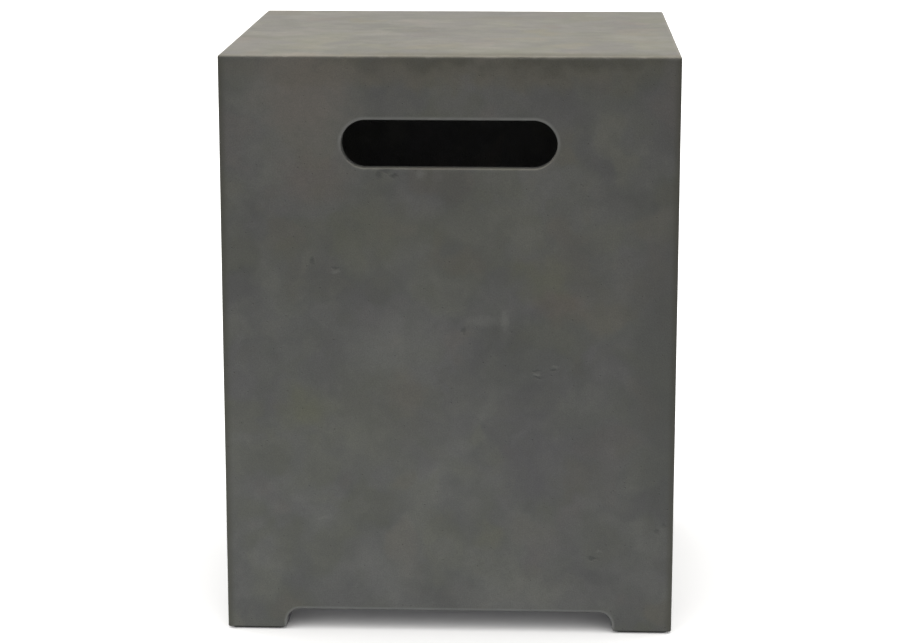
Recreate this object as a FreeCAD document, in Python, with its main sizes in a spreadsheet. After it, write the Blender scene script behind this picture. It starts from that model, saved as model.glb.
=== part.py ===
import FreeCAD, Part
import os
import Sketcher
from FreeCAD import Placement, Rotation, Vector

# Propane tank cover table: five mitred cast panels on a folded steel frame, open underneath.
# Millimetres. Origin at the centre of the underside, +Z up, the pictured side faces -Y.

# The driving dimensions: name, value and what it measures.
SIZES = [
    ("overall_width", 400, "outside width along X"),
    ("overall_depth", 400, "outside depth along Y"),
    ("overall_height", 520, "floor to table top"),
    ("panel_thickness", 15, "thickness of every cast panel"),
    ("arris_radius", 2, "rounding of the outside edges"),
    ("hand_slot_width", 188, "hand slot, end to end"),
    ("hand_slot_height", 42.5, "hand slot, top to bottom"),
    ("hand_slot_drop", 77, "table top to the middle of the hand slot"),
    ("hand_slot_lip", 2, "rounding of the hand slot's outside rim"),
    ("notch_lip", 1.2, "bevel of the outside edge along the notch and under the feet"),
    ("foot_width", 53.5, "width of a foot, seen from outside"),
    ("notch_height", 19.5, "floor to the top of the notch between two feet"),
    ("notch_corner", 12, "rounding of the notch's upper corners"),
    ("foot_corner", 3, "rounding of a foot's inner lower corner"),
    ("upright_leg", 30, "leg of a corner upright"),
    ("rail_leg", 25, "leg of a top rail"),
    ("steel_thickness", 2, "sheet of the uprights and the top rails"),
    ("bend_radius", 2, "inside bend of the uprights and the top rails"),
    ("tie_height", 20, "height of a bottom tie bar"),
    ("tie_thickness", 3, "thickness of a bottom tie bar"),
    ("tie_lift", 4, "top of the notch to the tie bar's lower edge"),
    ("plate_thickness", 3, "thickness of a foot plate"),
    ("pad_thickness", 2, "rubber between the panels and the floor"),
    ("pad_inset", 3.5, "foot's sides to the rubber's sides"),
    ("pad_corner", 4, "rounding of the rubber's corners"),
    ("stem_radius", 5, "rubber stem in the foot plate's hole"),
    ("stem_clearance", 0.1, "gap round the rubber stem"),
    ("barb_radius", 6.5, "widest part of the stem's barb"),
    ("barb_tip_radius", 3.5, "top of the stem's barb"),
    ("barb_height", 5, "height of the stem's barb"),
    ("screw_radius", 2.5, "panel screw's shank"),
    ("screw_clearance", 0.3, "gap round the shank in the steel"),
    ("screw_length", 10, "panel screw under its head"),
    ("screw_head_flats", 8, "panel screw's hexagon head, across its flats"),
    ("screw_head_height", 3.5, "panel screw's head"),
    ("insert_flats", 8, "hexagon insert cast into a panel, across its flats"),
    ("insert_length", 11, "threaded insert cast into a panel"),
    ("insert_bore_depth", 9.5, "threaded insert's blind bore"),
    ("thread_clearance", 0.1, "gap between a shank and its insert"),
    ("casting_clearance", 0.1, "gap between an insert and its panel"),
    ("upright_hole_inset", 18, "upright's outer corner to its hole"),
    ("upright_hole_low", 100, "floor to an upright's lower hole"),
    ("upright_hole_high", 390, "floor to an upright's upper hole"),
    ("rail_hole_inset", 15, "rail's outer corner to its hole"),
]

width = "Sizes.overall_width"
depth = "Sizes.overall_depth"
height = "Sizes.overall_height"
wall = "Sizes.panel_thickness"
pad_top = "Sizes.pad_thickness"
plate_top = "Sizes.pad_thickness + Sizes.plate_thickness"
ceiling = "Sizes.overall_height - Sizes.panel_thickness"

# Each side of the box: name, turn about Z from the front, its length, its outer face's distance.
SIDES = [
    ("front", 0, width, f"{depth} / 2"),
    ("right", 90, depth, f"{width} / 2"),
    ("back", 180, width, f"{depth} / 2"),
    ("left", 270, depth, f"{width} / 2"),
]

# Each corner: name, turn about Z from the front left one, and the half lengths beside it.
CORNERS = [
    ("front_left", 0, f"{width} / 2", f"{depth} / 2"),
    ("front_right", 90, f"{depth} / 2", f"{width} / 2"),
    ("back_right", 180, f"{width} / 2", f"{depth} / 2"),
    ("back_left", 270, f"{depth} / 2", f"{width} / 2"),
]

SIDES_WITH_HAND_SLOT = ("front", "back")

# Directions of what is built along +Z, once seated in the front side's frame.
outward = Rotation(Vector(1, 0, 0), 90)
inward = Rotation(Vector(1, 0, 0), -90)
upward = Rotation()

doc = FreeCAD.newDocument("tank_cover_table")
sheet = doc.addObject("Spreadsheet::Sheet", "Sizes")
sub_parts = []


def fill_sheet():
    for row, (name, value, meaning) in enumerate(SIZES, 1):
        sheet.set(f"A{row}", name)
        sheet.set(f"B{row}", str(value))
        sheet.set(f"C{row}", meaning)
        sheet.setAlias(f"B{row}", name)
    doc.recompute()


def bind(thing, **expressions):
    for name, expression in expressions.items():
        thing.setExpression(name, expression)
    return thing


def make(kind, name, **expressions):
    return bind(doc.addObject(kind, name), **expressions)


def turned(x, y, turn):
    """A place in the front side's frame, turned about Z to another side."""
    quarter = {0: (x, y), 90: (f"-({y})", x), 180: (f"-({x})", f"-({y})"), 270: (y, f"-({x})")}
    return quarter[turn]


def seat(thing, x, y, z, turn=0, tilt=Rotation()):
    """Place a thing by expressions; x and y are in the front side's frame."""
    thing.Placement = Placement(Vector(), Rotation(Vector(0, 0, 1), turn) * tilt)
    place_x, place_y = turned(x, y, turn)
    thing.setExpression("Placement.Base.x", place_x)
    thing.setExpression("Placement.Base.y", place_y)
    thing.setExpression("Placement.Base.z", z)
    return thing


def keep(thing, label):
    thing.Label = label
    sub_parts.append(thing)
    return thing


def cut(name, base, tools):
    tool = tools[0]
    if len(tools) > 1:
        tool = make("Part::Compound", f"{name}_tools")
        tool.Links = tools
    result = make("Part::Cut", name)
    result.Base = base
    result.Tool = tool
    return result


def ease_edges(kind, name, base, rule):
    """Fillet or chamfer the edges of base for which rule gives the name of a size."""
    doc.recompute()
    picked = []
    for number, edge in enumerate(base.Shape.Edges, 1):
        size = rule(edge)
        if size:
            picked.append((number, sheet.get(size), sheet.get(size)))
    if not picked:
        raise RuntimeError(f"no edge to ease on {name}")
    result = make(kind, name)
    result.Base = base
    result.Edges = picked
    return result


def number_of(expression):
    """The present value of an expression over the sheet."""
    return float(sheet.evalExpression(expression.replace("Sizes.", "")))


def near(first, second):
    return abs(first - second) < 0.01


def outline(sketch, corners):
    """Closed run of straight lines whose corners are bound to expressions over the sheet."""
    points = [Vector(number_of(x), number_of(y), 0) for x, y in corners]
    for start, end in zip(points, points[1:] + points[:1]):
        sketch.addGeometry(Part.LineSegment(start, end))
    count = len(points)
    for line in range(count):
        sketch.addConstraint(Sketcher.Constraint("Coincident", line, 2, (line + 1) % count, 1))
    for line, (point, corner) in enumerate(zip(points, corners)):
        bind_point(sketch, line, "x", "DistanceX", point.x, corner[0])
        bind_point(sketch, line, "y", "DistanceY", point.y, corner[1])


def bind_point(sketch, piece, axis, kind, value, expression, point=1):
    """Hold one coordinate of a point of the sketch at an expression over the sheet."""
    if expression == "0":
        line = {"x": -2, "y": -1}[axis]
        sketch.addConstraint(Sketcher.Constraint("PointOnObject", piece, point, line))
        return
    index = sketch.addConstraint(Sketcher.Constraint(kind, -1, 1, piece, point, value))
    sketch.renameConstraint(index, f"{axis}{piece}")
    sketch.setExpression(f"Constraints.{axis}{piece}", expression)


def body_sketch(body, name, role):
    sketch = body.newObject("Sketcher::SketchObject", name)
    plane = next(item for item in body.Origin.OriginFeatures if item.Role == role)
    sketch.AttachmentSupport = [(plane, "")]
    sketch.MapMode = "FlatFace"
    return sketch


def wall_fixings(span):
    """Places along and up a wall where it is screwed to the uprights."""
    upright = f"{span} / 2 - {wall} - Sizes.upright_hole_inset"
    heights = ("Sizes.upright_hole_low", "Sizes.upright_hole_high")
    return [(x, z) for x in (f"-({upright})", upright) for z in heights]


def hexagon(name, flats, length):
    """Six-sided bar along Z."""
    bar = make("Part::Prism", name, Circumradius=f"({flats}) / sqrt(3)", Height=length)
    bar.Polygon = 6
    return bar


def insert_pocket(name):
    return hexagon(
        name,
        "Sizes.insert_flats + 2 * Sizes.casting_clearance",
        "Sizes.insert_length + Sizes.casting_clearance",
    )


def rounded_block(name, span, reach):
    """The whole cover's outside, rounded, in a side's own frame."""
    block = make(
        "Part::Box",
        f"{name}_block",
        Length=span,
        Width=f"2 * {reach}",
        Height=f"{height} - {pad_top}",
    )
    seat(block, f"-{span} / 2", f"-{reach}", pad_top)
    bottom = number_of(pad_top)
    return ease_edges(
        "Part::Fillet",
        f"{name}_rounded",
        block,
        lambda edge: None if near(edge.CenterOfMass.z, bottom) else "arris_radius",
    )


def hand_slot(name, reach):
    """Tool with two round ends that runs through a wall."""
    middle = f"{height} - Sizes.hand_slot_drop"
    radius = "Sizes.hand_slot_height / 2"
    centre = f"Sizes.hand_slot_width / 2 - {radius}"
    start = f"-{reach} - {wall}"
    bar = make(
        "Part::Box",
        f"{name}_slot_bar",
        Length=f"2 * ({centre})",
        Width=f"3 * {wall}",
        Height="Sizes.hand_slot_height",
    )
    seat(bar, f"-({centre})", start, f"{middle} - {radius}")
    pieces = [bar]
    for end, x in (("left", f"-({centre})"), ("right", centre)):
        cap = make("Part::Cylinder", f"{name}_slot_{end}", Radius=radius, Height=f"3 * {wall}")
        pieces.append(seat(cap, x, start, middle, tilt=inward))
    tool = make("Part::MultiFuse", f"{name}_slot")
    tool.Shapes = pieces
    tool.Refine = True
    return tool


def notch(name, span, reach):
    """Tool that opens a wall between its two feet."""
    tool = make(
        "Part::Box",
        f"{name}_notch",
        Length=f"{span} - 2 * Sizes.foot_width",
        Width=f"3 * {wall}",
        Height="Sizes.notch_height",
    )
    return seat(tool, f"-{span} / 2 + Sizes.foot_width", f"-{reach} - {wall}", "0")


def wall_panel(name, turn, span, reach):
    """Cast wall: wedge with mitred sides and top, its outside edges rounded."""
    blank = make(
        "Part::Wedge",
        f"{name}_blank",
        Xmin=f"-{span} / 2",
        Xmax=f"{span} / 2",
        X2min=f"-{span} / 2 + {wall}",
        X2max=f"{span} / 2 - {wall}",
        Ymin=f"-{reach}",
        Ymax=f"-{reach} + {wall}",
        Zmin=pad_top,
        Z2min=pad_top,
        Zmax=height,
        Z2max=ceiling,
    )
    mitred = make("Part::Common", f"{name}_mitred")
    mitred.Base = blank
    mitred.Tool = rounded_block(name, span, reach)

    tools = [notch(name, span, reach)]
    if name in SIDES_WITH_HAND_SLOT:
        tools.append(hand_slot(name, reach))
    for number, (x, z) in enumerate(wall_fixings(span), 1):
        pocket = insert_pocket(f"{name}_pocket_{number}")
        tools.append(seat(pocket, x, f"-{reach} + {wall}", z, tilt=outward))
    opened = cut(f"{name}_opened", mitred, tools)

    mouth = number_of(f"{span} / 2 - Sizes.foot_width")
    notch_top = number_of("Sizes.notch_height")
    bottom = number_of(pad_top)

    def notch_edge(edge):
        centre = edge.CenterOfMass
        if not near(edge.BoundBox.YLength, number_of(wall)) or not near(abs(centre.x), mouth):
            return None
        if near(centre.z, notch_top):
            return "notch_corner"
        return "foot_corner" if near(centre.z, bottom) else None

    footed = ease_edges("Part::Fillet", f"{name}_footed", opened, notch_edge)
    panel = ease_rims(name, footed, reach)
    panel.Placement = Placement(Vector(), Rotation(Vector(0, 0, 1), turn))
    keep(panel, f"{name}_panel")


def ease_rims(name, base, reach):
    """Bevel the outside edge round the notch and feet, and round the hand slot's rim."""
    outside = number_of(f"-{reach}")
    notch_top = number_of("Sizes.notch_height")
    slot_bottom = number_of(f"{height} - Sizes.hand_slot_drop - Sizes.hand_slot_height / 2")
    slot_end = number_of("Sizes.hand_slot_width / 2")

    def on_outside(edge):
        return near(edge.BoundBox.YMin, outside) and near(edge.BoundBox.YMax, outside)

    def notch_rim(edge):
        low = edge.BoundBox.ZMax < notch_top + 0.01
        return "notch_lip" if low and on_outside(edge) else None

    def slot_rim(edge):
        box = edge.BoundBox
        inner = max(-box.XMin, box.XMax) < slot_end + 0.01 and box.ZMin > slot_bottom - 0.01
        return "hand_slot_lip" if inner and on_outside(edge) else None

    panel = ease_edges("Part::Chamfer", f"{name}_bevelled", base, notch_rim)
    if name in SIDES_WITH_HAND_SLOT:
        panel = ease_edges("Part::Fillet", f"{name}_rimmed", panel, slot_rim)
    return panel


def top_panel():
    """Cast table top: the same mitre on all four sides, pockets for its inserts below."""
    blank = make(
        "Part::Wedge",
        "top_blank",
        Xmin=f"-{width} / 2",
        Xmax=f"{width} / 2",
        X2min=f"-{width} / 2 + {wall}",
        X2max=f"{width} / 2 - {wall}",
        Ymin="0",
        Ymax=wall,
        Zmin=f"-{depth} / 2",
        Zmax=f"{depth} / 2",
        Z2min=f"-{depth} / 2 + {wall}",
        Z2max=f"{depth} / 2 - {wall}",
    )
    seat(blank, "0", "0", height, tilt=inward)
    mitred = make("Part::Common", "top_mitred")
    mitred.Base = blank
    mitred.Tool = rounded_block("top", width, f"{depth} / 2")
    tools = []
    for number, (x, y, turn) in enumerate(top_fixings(), 1):
        tools.append(seat(insert_pocket(f"top_pocket_{number}"), x, y, ceiling, turn))
    keep(cut("top_finished", mitred, tools), "top_panel")


def top_fixings():
    """Places under the table top where the middle of each rail is screwed to it."""
    inset = "Sizes.rail_hole_inset"
    return [("0", f"-{reach} + {wall} + {inset}", turn) for _, turn, _, reach in SIDES]


def insert(name):
    """Threaded insert along Z, its blind bore open at the origin."""
    body = hexagon(f"{name}_body", "Sizes.insert_flats", "Sizes.insert_length")
    bore = make(
        "Part::Cylinder",
        f"{name}_bore",
        Radius="Sizes.screw_radius + Sizes.thread_clearance",
        Height="Sizes.insert_bore_depth",
    )
    return cut(name, body, [bore])


def screw(name):
    """Hexagon head screw along Z, the underside of its head at the origin."""
    head = hexagon(f"{name}_head", "Sizes.screw_head_flats", "Sizes.screw_head_height")
    seat(head, "0", "0", "-Sizes.screw_head_height")
    shank = make(
        "Part::Cylinder", f"{name}_shank", Radius="Sizes.screw_radius", Height="Sizes.screw_length"
    )
    whole = make("Part::Fuse", name)
    whole.Base = shank
    whole.Tool = head
    return whole


def fastener_group(label, build, places, tilt):
    """Identical fasteners of one panel, each a separate solid."""
    pieces = []
    for number, (x, y, z, turn) in enumerate(places, 1):
        pieces.append(seat(build(f"{label}_{number}"), x, y, z, turn, tilt))
    group = make("Part::Compound", f"{label}_group")
    group.Links = pieces
    keep(group, label)


def fasteners():
    for name, turn, span, reach in SIDES:
        inner = f"-{reach} + {wall}"
        steel = f"{inner} + Sizes.steel_thickness"
        seats = wall_fixings(span)
        inserts = [(x, inner, z, turn) for x, z in seats]
        screws = [(x, steel, z, turn) for x, z in seats]
        fastener_group(f"{name}_panel_inserts", insert, inserts, outward)
        fastener_group(f"{name}_panel_screws", screw, screws, outward)
    under = f"{ceiling} - Sizes.steel_thickness"
    inserts = [(x, y, ceiling, turn) for x, y, turn in top_fixings()]
    screws = [(x, y, under, turn) for x, y, turn in top_fixings()]
    fastener_group("top_panel_inserts", insert, inserts, upward)
    fastener_group("top_panel_screws", screw, screws, upward)


def folded_angle(label, leg, length, profile_edge="Sizes.steel_thickness"):
    """Sheet angle folded along Z: outer corner at the origin, legs along X and Y."""
    body = make("PartDesign::Body", label)
    profile = body_sketch(body, f"{label}_profile", "XY_Plane")
    outline(profile, [
        ("0", "0"),
        (leg, "0"),
        (leg, profile_edge),
        (profile_edge, profile_edge),
        (profile_edge, leg),
        ("0", leg),
    ])
    pad = body.newObject("PartDesign::Pad", f"{label}_pad")
    pad.Profile = profile
    bind(pad, Length=length)
    outside = bend(body, pad, "0", "Sizes.bend_radius + Sizes.steel_thickness")
    bend(body, outside, profile_edge, "Sizes.bend_radius")
    return body


def bend(body, base, corner, radius):
    """Round the long edge of an angle that stands at the given corner of its profile."""
    doc.recompute()
    place = number_of(corner)
    edges = [
        f"Edge{number}"
        for number, edge in enumerate(base.Shape.Edges, 1)
        if near(edge.CenterOfMass.x, place) and near(edge.CenterOfMass.y, place)
    ]
    fillet = body.newObject("PartDesign::Fillet", f"{base.Name}_bend")
    fillet.Base = (base, edges)
    return bind(fillet, Radius=radius)


def drill(body, name, role, inset, heights):
    """Screw holes through the leg of an angle that lies in one of its body's planes."""
    doc.recompute()
    before = body.Shape.Volume
    sketch = body_sketch(body, name, role)
    radius = "Sizes.screw_radius + Sizes.screw_clearance"
    for number, level in enumerate(heights):
        centre = Vector(number_of(inset), number_of(level), 0)
        sketch.addGeometry(Part.Circle(centre, Vector(0, 0, 1), number_of(radius)))
        bind_point(sketch, number, "x", "DistanceX", centre.x, inset, point=3)
        bind_point(sketch, number, "y", "DistanceY", centre.y, level, point=3)
        index = sketch.addConstraint(Sketcher.Constraint("Radius", number, number_of(radius)))
        sketch.renameConstraint(index, f"radius{number}")
        sketch.setExpression(f"Constraints.radius{number}", radius)
    pocket = body.newObject("PartDesign::Pocket", f"{name}_pocket")
    pocket.Profile = sketch
    pocket.SideType = "Symmetric"
    pocket.Type = "ThroughAll"
    doc.recompute()
    if before - body.Shape.Volume < 1:
        raise RuntimeError(f"{name} cut nothing")


def frame():
    """Steel skeleton: four uprights on foot plates, four top rails and four bottom ties."""
    for corner in CORNERS:
        corner_upright(*corner)
        foot_plate(*corner)
        foot_pad(*corner)
    for side in SIDES:
        top_rail(*side)
        bottom_tie(*side)


def corner_upright(name, turn, half_x, half_y):
    label = f"corner_upright_{name}"
    upright = folded_angle(label, "Sizes.upright_leg", f"{ceiling} - ({plate_top})")
    heights = [f"Sizes.upright_hole_{which} - ({plate_top})" for which in ("low", "high")]
    drill(upright, f"{label}_holes_x", "XZ_Plane", "Sizes.upright_hole_inset", heights)
    drill(upright, f"{label}_holes_y", "YZ_Plane", "Sizes.upright_hole_inset", heights)
    seat(upright, f"-{half_x} + {wall}", f"-{half_y} + {wall}", plate_top, turn)
    keep(upright, label)


def rail_length(span):
    """Rails and ties butt against the uprights' legs at both ends."""
    return f"{span} - 2 * ({wall} + Sizes.upright_leg)"


def top_rail(name, turn, span, reach):
    """Angle with one leg under the table top and the other down the wall."""
    label = f"top_rail_{name}"
    length = rail_length(span)
    rail = folded_angle(label, "Sizes.rail_leg", length)
    drill(rail, f"{label}_hole", "XZ_Plane", "Sizes.rail_hole_inset", [f"({length}) / 2"])
    along = Rotation(Vector(0, 1, 0), Vector(0, 0, -1), Vector(-1, 0, 0), "XYZ")
    seat(rail, f"({length}) / 2", f"-{reach} + {wall}", ceiling, turn, along)
    keep(rail, label)


def bottom_tie(name, turn, span, reach):
    length = rail_length(span)
    tie = make(
        "Part::Box",
        f"bottom_tie_{name}",
        Length=length,
        Width="Sizes.tie_thickness",
        Height="Sizes.tie_height",
    )
    seat(tie, f"-({length}) / 2", f"-{reach} + {wall}", "Sizes.notch_height + Sizes.tie_lift", turn)
    keep(tie, f"bottom_tie_{name}")


stem_inset = f"({wall} + Sizes.foot_width) / 2"


def foot_plate(name, turn, half_x, half_y):
    """Plate that fills the foot between the two walls and carries an upright."""
    side = f"Sizes.foot_width - {wall}"
    plate = make(
        "Part::Box", f"foot_plate_{name}_blank", Length=side, Width=side,
        Height="Sizes.plate_thickness",
    )
    seat(plate, wall, wall, pad_top)
    hole = make(
        "Part::Cylinder",
        f"foot_plate_{name}_hole",
        Radius="Sizes.stem_radius + Sizes.stem_clearance",
        Height=plate_top,
    )
    seat(hole, stem_inset, stem_inset, "0")
    drilled = cut(f"foot_plate_{name}_drilled", plate, [hole])
    seat(drilled, f"-{half_x}", f"-{half_y}", "0", turn)
    keep(drilled, f"foot_plate_{name}")


def foot_pad(name, turn, half_x, half_y):
    """Moulded rubber foot: a flat pad with a barbed stem pushed through the foot plate."""
    side = "Sizes.foot_width - 2 * Sizes.pad_inset"
    flat = make(
        "Part::Box", f"foot_pad_{name}_flat", Length=side, Width=side, Height=pad_top,
    )
    seat(flat, "Sizes.pad_inset", "Sizes.pad_inset", "0")
    rounded = ease_edges(
        "Part::Fillet",
        f"foot_pad_{name}_rounded",
        flat,
        lambda edge: "pad_corner" if edge.BoundBox.ZLength > 1 else None,
    )
    stem = make(
        "Part::Cylinder", f"foot_pad_{name}_stem", Radius="Sizes.stem_radius",
        Height=plate_top,
    )
    seat(stem, stem_inset, stem_inset, "0")
    barb = make(
        "Part::Cone", f"foot_pad_{name}_barb", Radius1="Sizes.barb_radius",
        Radius2="Sizes.barb_tip_radius", Height="Sizes.barb_height",
    )
    seat(barb, stem_inset, stem_inset, plate_top)
    pad = make("Part::MultiFuse", f"foot_pad_{name}_moulded")
    pad.Shapes = [rounded, stem, barb]
    seat(pad, f"-{half_x}", f"-{half_y}", "0", turn)
    keep(pad, f"foot_pad_{name}")


def check():
    """Stop if anything failed to build or a sub-part has no sound solid."""
    for thing in doc.Objects:
        if "Invalid" in thing.State or "Error" in thing.State:
            raise RuntimeError(f"{thing.Label} did not build")
    for part in sub_parts:
        if part.Shape.isNull() or not part.Shape.isValid() or not part.Shape.Solids:
            raise RuntimeError(f"{part.Label} has no sound solid")


def write():
    os.makedirs("parts", exist_ok=True)
    for part in sub_parts:
        part.Shape.exportStep(os.path.join("parts", f"{part.Label}.step"))
        print(f"{part.Label}: {len(part.Shape.Solids)} solid, {part.Shape.Volume:.0f} mm3")


fill_sheet()
for side in SIDES:
    wall_panel(*side)
top_panel()
frame()
fasteners()
doc.recompute()
check()
write()
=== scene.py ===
import math

import bmesh
import bpy
from mathutils import Matrix, Vector, noise


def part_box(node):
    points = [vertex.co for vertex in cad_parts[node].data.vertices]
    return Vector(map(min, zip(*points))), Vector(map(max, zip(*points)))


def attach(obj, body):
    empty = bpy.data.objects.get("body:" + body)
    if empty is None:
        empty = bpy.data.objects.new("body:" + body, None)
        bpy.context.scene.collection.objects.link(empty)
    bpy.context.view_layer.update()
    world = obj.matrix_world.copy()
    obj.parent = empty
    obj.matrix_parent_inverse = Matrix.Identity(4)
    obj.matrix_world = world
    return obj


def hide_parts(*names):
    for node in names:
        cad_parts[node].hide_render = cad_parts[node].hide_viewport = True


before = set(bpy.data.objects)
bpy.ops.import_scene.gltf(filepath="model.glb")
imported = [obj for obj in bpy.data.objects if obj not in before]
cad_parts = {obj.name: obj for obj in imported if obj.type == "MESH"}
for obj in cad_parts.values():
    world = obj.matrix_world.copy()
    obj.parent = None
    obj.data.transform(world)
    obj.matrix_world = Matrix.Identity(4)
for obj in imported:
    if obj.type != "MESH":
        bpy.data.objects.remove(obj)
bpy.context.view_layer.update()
print("frame loaded:", len(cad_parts), "nodes")


# Colours and nodes

def colour(red, green, blue):
    # a screen colour, 0 to 255, as the linear one that shaders take
    def linear(value):
        value /= 255
        return value / 12.92 if value <= 0.04045 else ((value + 0.055) / 1.055) ** 2.4
    return linear(red), linear(green), linear(blue), 1.0


def addNode(tree, kind, settings=None, values=None):
    # a value that is a socket is linked, any other is set
    node = tree.nodes.new(kind)
    for name, value in (settings or {}).items():
        setattr(node, name, value)
    for name, value in (values or {}).items():
        if isinstance(value, bpy.types.NodeSocket):
            tree.links.new(value, node.inputs[name])
        else:
            node.inputs[name].default_value = value
    return node


def mathNode(tree, operation, first, second=0.0, third=0.0):
    settings = {"operation": operation}
    return addNode(tree, "ShaderNodeMath", settings, {0: first, 1: second, 2: third}).outputs[0]


def vectorNode(tree, operation, first, second=(0, 0, 0)):
    settings = {"operation": operation}
    return addNode(tree, "ShaderNodeVectorMath", settings, {0: first, 1: second}).outputs


def mixColour(tree, factor, first, second, blend="MIX"):
    settings = {"data_type": "RGBA", "blend_type": blend}
    return addNode(tree, "ShaderNodeMix", settings, {0: factor, 6: first, 7: second}).outputs[2]


def smoothRange(tree, value, low, high, toLow=0.0, toHigh=1.0):
    settings = {"interpolation_type": "SMOOTHSTEP"}
    values = {"Value": value, "From Min": low, "From Max": high, "To Min": toLow, "To Max": toHigh}
    return addNode(tree, "ShaderNodeMapRange", settings, values).outputs[0]


def newGroup(name, inputs, outputs):
    # each group reads a place, and numbers or vectors with the values that they start from
    group = bpy.data.node_groups.new(name, "ShaderNodeTree")
    for socketName, start in {"Place": (0, 0, 0), **inputs}.items():
        kind = "NodeSocketVector" if isinstance(start, tuple) else "NodeSocketFloat"
        group.interface.new_socket(socketName, in_out="INPUT", socket_type=kind).default_value = start
    for socketName in outputs:
        group.interface.new_socket(socketName, in_out="OUTPUT", socket_type="NodeSocketFloat")
    return group, group.nodes.new("NodeGroupInput").outputs, group.nodes.new("NodeGroupOutput")


def endGroup(group, made, results):
    for name, value in results.items():
        group.links.new(value, made.inputs[name])
    return group


def useGroup(tree, group, values):
    return addNode(tree, "ShaderNodeGroup", {"node_tree": group}, values).outputs


def emptyTree(owner):
    owner.use_nodes = True
    owner.node_tree.nodes.clear()
    return owner.node_tree


def newMaterial(name):
    # an empty material: its tree, its Principled shader and the Object coordinates
    material = bpy.data.materials.new(name)
    tree = emptyTree(material)
    shader = tree.nodes.new("ShaderNodeBsdfPrincipled")
    addNode(tree, "ShaderNodeOutputMaterial", None, {"Surface": shader.outputs[0]})
    place = tree.nodes.new("ShaderNodeTexCoord").outputs["Object"]
    return material, tree, shader, place


def noiseNode(tree, place, seed, scale, detail, roughness, distortion=0.0):
    values = {"Vector": place, "W": seed, "Scale": scale, "Detail": detail, "Roughness": roughness,
              "Distortion": distortion}
    return addNode(tree, "ShaderNodeTexNoise", {"noise_dimensions": "4D"}, values).outputs


def perUnit(tree, size):
    # the scale that gives a pattern features of this size
    return mathNode(tree, "DIVIDE", 1.0, size)


def shifted(tree, place, wander, reach):
    # the place moved by a noise's colour, up to half the reach either way
    shift = vectorNode(tree, "SUBTRACT", wander, (0.5, 0.5, 0.5))[0]
    return vectorNode(tree, "ADD", place, vectorNode(tree, "MULTIPLY", shift, reach)[0])[0]


def finishSurface(tree, shader, tone, rough, height, strength, distance):
    values = {"Strength": strength, "Distance": distance, "Height": height}
    bump = addNode(tree, "ShaderNodeBump", None, values).outputs[0]
    for name, value in (("Base Color", tone), ("Roughness", rough), ("Normal", bump)):
        tree.links.new(value, shader.inputs[name])


# Effects that several finishes share

effects = {
    "cloudWarp": 0.35,
    "blotchWander": 2.2,       # how far a blotch's outline strays, in blotch sizes
    "spotCore": 0.2,           # a spot is whole up to here and gone at its edge, in half sizes
    "spotEdge": 1.25,
    "grainCells": -0.4,        # how deep the gaps between the grains are
    "smallestHole": 0.0001,
    "dustOnTop": 0.5,
    "dustLow": 0.28,           # low down, whichever way a face looks
    "dustHeight": 0.12,
    "markStretch": 0.94,       # how much of a trowel mark is drawn out along its direction
}


def cloudGroup():
    # soft uneven patches: 0 to 1, half of the surface above 0.5
    group, given, made = newGroup(
        "cloudPatches", {"Patch Size": 0.05, "Seed": 0.0, "Softness": 0.2, "Detail": 3.0}, ["Patches"])
    scale = perUnit(group, given["Patch Size"])
    patches = noiseNode(group, given["Place"], given["Seed"], scale, given["Detail"], 0.5,
                        distortion=effects["cloudWarp"])[0]
    low = mathNode(group, "SUBTRACT", 0.5, given["Softness"])
    high = mathNode(group, "ADD", 0.5, given["Softness"])
    return endGroup(group, made, {"Patches": smoothRange(group, patches, low, high)})


def blotchGroup():
    # soft-edged blotches, as a skim of cement leaves them, each with its own tone, tint and warmth
    group, given, made = newGroup(
        "castBlotches", {"Blotch Size": 0.04, "Seed": 0.0, "Softness": 0.5}, ["Tone", "Tint", "Warmth"])
    scale = perUnit(group, given["Blotch Size"])
    wave = noiseNode(group, given["Place"], given["Seed"], scale, detail=2.0, roughness=0.45)[1]
    reach = mathNode(group, "MULTIPLY", given["Blotch Size"], effects["blotchWander"])
    place = vectorNode(group, "ADD", shifted(group, given["Place"], wave, reach), given["Seed"])[0]
    cells = addNode(group, "ShaderNodeTexVoronoi", {"feature": "SMOOTH_F1"},
                    {"Vector": place, "Scale": scale, "Smoothness": given["Softness"]}).outputs
    parts = addNode(group, "ShaderNodeSeparateColor", None, {"Color": cells["Color"]}).outputs
    return endGroup(group, made, {"Tone": parts[0], "Tint": parts[1], "Warmth": parts[2]})


def spotGroup():
    # one soft spot at a place on the front panel
    group, given, made = newGroup("faceSpot", {"Middle": (0, 0, 0), "Size": (1, 1, 1)}, ["Spot"])
    away = vectorNode(group, "SUBTRACT", given["Place"], given["Middle"])[0]
    reach = vectorNode(group, "LENGTH", vectorNode(group, "DIVIDE", away, given["Size"])[0])["Value"]
    spot = smoothRange(group, reach, effects["spotEdge"], effects["spotCore"])
    return endGroup(group, made, {"Spot": spot})


def grainGroup():
    # fine sand and cement grain, as a mask and as a height
    group, given, made = newGroup("fineGrain", {"Grain Size": 0.001, "Seed": 0.0}, ["Grain", "Height"])
    scale = perUnit(group, given["Grain Size"])
    sand = noiseNode(group, given["Place"], given["Seed"], scale, detail=4.0, roughness=0.65)[0]
    cells = addNode(group, "ShaderNodeTexVoronoi", {"feature": "F1"},
                    {"Vector": given["Place"], "Scale": scale}).outputs
    height = mathNode(group, "MULTIPLY_ADD", cells["Distance"], effects["grainCells"], sand)
    return endGroup(group, made, {"Grain": smoothRange(group, sand, 0.3, 0.7), "Height": height})


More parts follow.
